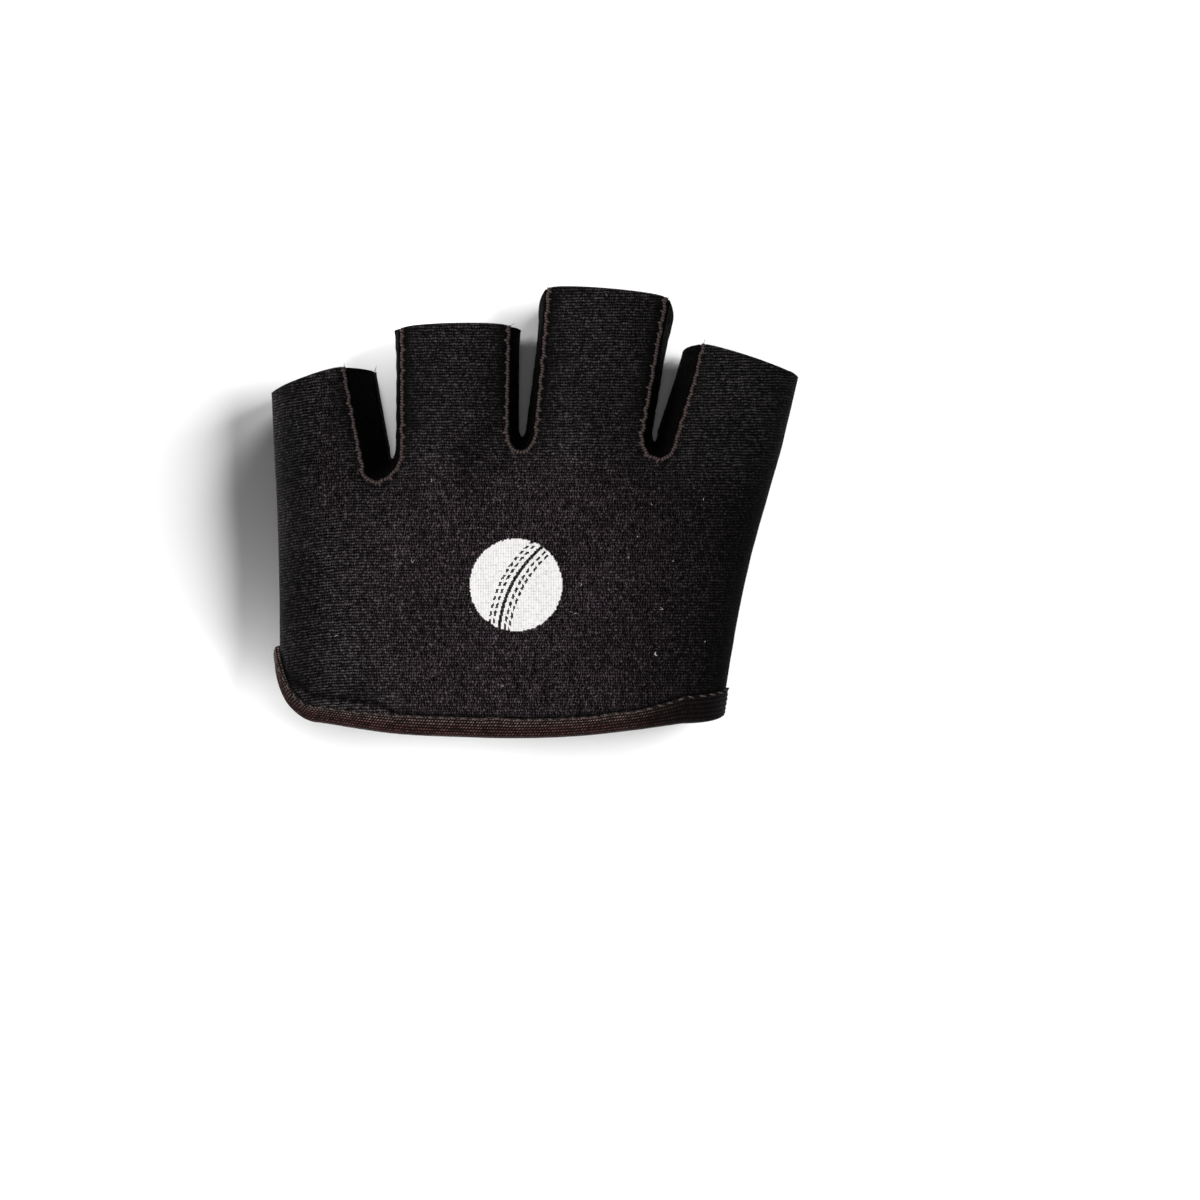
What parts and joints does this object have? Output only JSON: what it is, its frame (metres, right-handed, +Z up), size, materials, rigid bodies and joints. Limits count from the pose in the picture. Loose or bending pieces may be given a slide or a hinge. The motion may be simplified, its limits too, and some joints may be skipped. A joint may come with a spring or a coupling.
{
  "type": "cricket catching practice glove",
  "caption": "Thin fingerless left-hand fielding practice glove without a thumb, with open finger stalls, foam pads sewn to the palm and a taped wrist edge, lying palm down.",
  "frame": {"origin": "centre of the glove in plan, on the surface that its palm pads lie on", "axes": "+X from the little finger's side to the index finger's, +Y from the wrist to the fingertips, +Z up through the back of the hand"},
  "size_m": [0.1055, 0.0901, 0.0174],
  "materials": {
    "back_knit": "fine black jersey on thin foam",
    "palm_knit": "black brushed knit on thin foam",
    "gap_lining": "black knit",
    "pad_foam": "black brushed knit over soft foam",
    "binding_tape": "dark brown ribbed tape"
  },
  "bodies": {
    "root": {"back_panel": "back_knit", "palm_panel": "palm_knit", "web_little_ring": "gap_lining", "web_ring_middle": "gap_lining", "web_middle_index": "gap_lining", "wrist_binding": "binding_tape", "pad_little_finger": "pad_foam", "pad_ring_finger": "pad_foam", "pad_middle_finger": "pad_foam", "pad_index_finger": "pad_foam", "pad_knuckles": "pad_foam", "pad_outer_palm": "pad_foam", "pad_heel": "pad_foam", "pad_lens": "pad_foam", "pad_thumb_upper": "pad_foam", "pad_thumb_lower": "pad_foam"}
  },
  "joints": []
}
